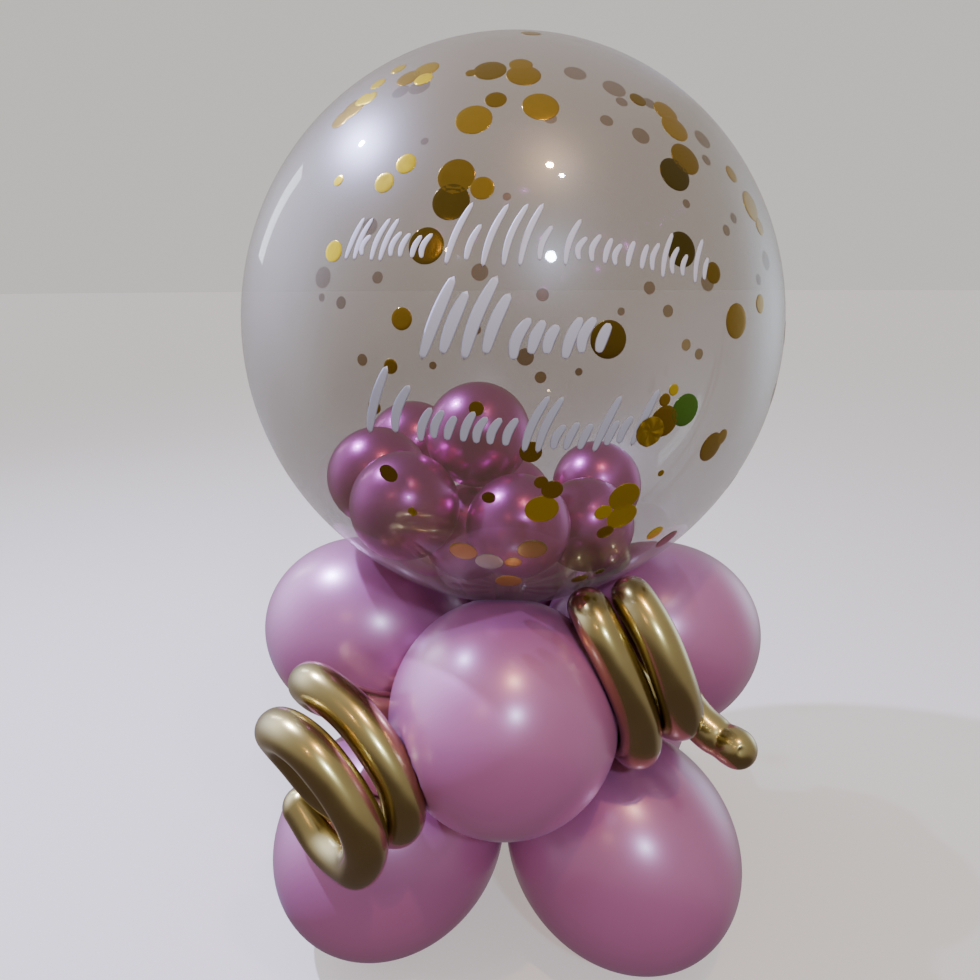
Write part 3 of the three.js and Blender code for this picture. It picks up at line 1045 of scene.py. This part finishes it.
# %% Room tones
ROOM_STOPS = [
    (0.0, (0.22, 0.18, 0.17, 1)), (0.5, (0.36, 0.32, 0.29, 1)), (1.0, (0.52, 0.48, 0.44, 1))]
WINDOW_DIRECTION = (-0.88, 0.25, 0.40)
WINDOW_TONE = (2.3, 2.45, 3.3, 1)
WINDOW_FOCUS = 8.0      # higher makes a glow smaller
WALL_DIRECTION = (0.80, 0.60, 0.05)
WALL_TONE = (1.6, 1.85, 2.15, 1)
WALL_FOCUS = 20.0
FLOOR_SHADE_DIRECTION = (-0.06, -0.54, -0.84)
FLOOR_SHADE_EDGES = (0.31, 0.56)
FLOOR_SHADE = (0.105, 0.078, 0.075, 1)
FLOOR_BOUNCE = (0.60, 0.44, 0.43, 1)
BACKDROP = (0.72, 0.685, 0.65, 1)
print("Room of", len(ROOM_STOPS), "tones, two glows and a dark floor")


# %% A finish for the world
class Room(Finish):
    """The same one-method network, for the world's background."""
    def __init__(self, world):
        world.use_nodes = True
        self.name = world.name
        self.tree = world.node_tree
        self.shader = self.tree.nodes["Background"]

    def toward(self, ray, direction, low, high):
        """How far a ray points in a direction, from 0 at the low limit to 1 at the high."""
        facing = self.node(
            "ShaderNodeVectorMath", {"operation": "DOT_PRODUCT"}, {0: ray, 1: direction},
            output="Value")
        return self.node(
            "ShaderNodeMapRange", {}, {"Value": facing, "From Min": low, "From Max": high})


# %% Paint the room
studio = bpy.data.worlds.new("studio")
bpy.context.scene.world = studio
room = Room(studio)
ray = room.node("ShaderNodeTexCoord", {}, {}, output="Generated")
ray_rise = room.node("ShaderNodeSeparateXYZ", {}, {"Vector": ray}, output="Z")
room_tone = room.node(
    "ShaderNodeValToRGB", {"stops": ROOM_STOPS}, {"Fac": ray_rise * 0.5 + 0.5})
window_glow = room.toward(ray, WINDOW_DIRECTION, 0.0, 1.0) ** WINDOW_FOCUS
wall_glow = room.toward(ray, WALL_DIRECTION, 0.0, 1.0) ** WALL_FOCUS
lit_room = room.mix(window_glow, room_tone, WINDOW_TONE)
lit_room = room.mix(wall_glow, lit_room, WALL_TONE)
floor_share = room.toward(ray, FLOOR_SHADE_DIRECTION, *FLOOR_SHADE_EDGES)
spread_by_paint = room.node("ShaderNodeLightPath", {}, {}, output="Is Diffuse Ray")
floor_tone = room.mix(spread_by_paint, FLOOR_SHADE, FLOOR_BOUNCE)
lit_room = room.mix(floor_share, lit_room, floor_tone)
seen_directly = room.node("ShaderNodeLightPath", {}, {}, output="Is Camera Ray")
room.set({"Color": room.mix(seen_directly, lit_room, BACKDROP)})

# %% [markdown]
# Lamps make the highlights, and each highlight is as large as its lamp. So there are five
# small round ones and a tall window: a strong cool lamp high at the left, a cool one in
# front at the right, a pair overhead, one cool and one warm, a faint warm one in front at
# the left, and the window behind at the left. All of them aim at the top of the base.

# %% Lamps
# Place in metres, power in watts, colour and width in metres. The window has a height too.
LAMPS = {
    "cool_side_lamp": ((-1.15, 0.14, 2.05), 84, (0.56, 0.58, 1.0), 0.05),
    "cool_front_lamp": ((0.65, -2.09, 1.90), 23, (0.62, 0.74, 1.0), 0.16),
    "cool_over_lamp": ((0.42, -0.78, 1.90), 1.5, (0.74, 0.84, 1.0), 0.04),
    "warm_over_lamp": ((0.33, -0.74, 2.00), 8, (1.0, 0.60, 0.28), 0.06),
    "warm_front_lamp": ((-0.76, -1.77, 1.82), 1.5, (1.0, 0.60, 0.28), 0.06),
}
WINDOW = ((-2.10, 1.26, 1.60), 5, (0.80, 0.90, 1.0), 0.3, 0.9)
LAMP_AIM = Vector((0, 0, 0.4))


def hang_lamp(name, place, power, color, width, height=None):
    light = bpy.data.lights.new(name, "AREA")
    light.shape = "RECTANGLE" if height else "DISK"
    light.size = width
    light.size_y = height or width
    light.energy = power
    light.color = color
    lamp = bpy.data.objects.new(name, light)
    lamp.location = place
    lamp.rotation_euler = (LAMP_AIM - Vector(place)).to_track_quat("-Z", "Y").to_euler()
    lamp.visible_camera = False
    bpy.context.scene.collection.objects.link(lamp)


for name, lamp_values in LAMPS.items():
    hang_lamp(name, *lamp_values)
hang_lamp("window", *WINDOW)
print(len(LAMPS), "lamps and a window")
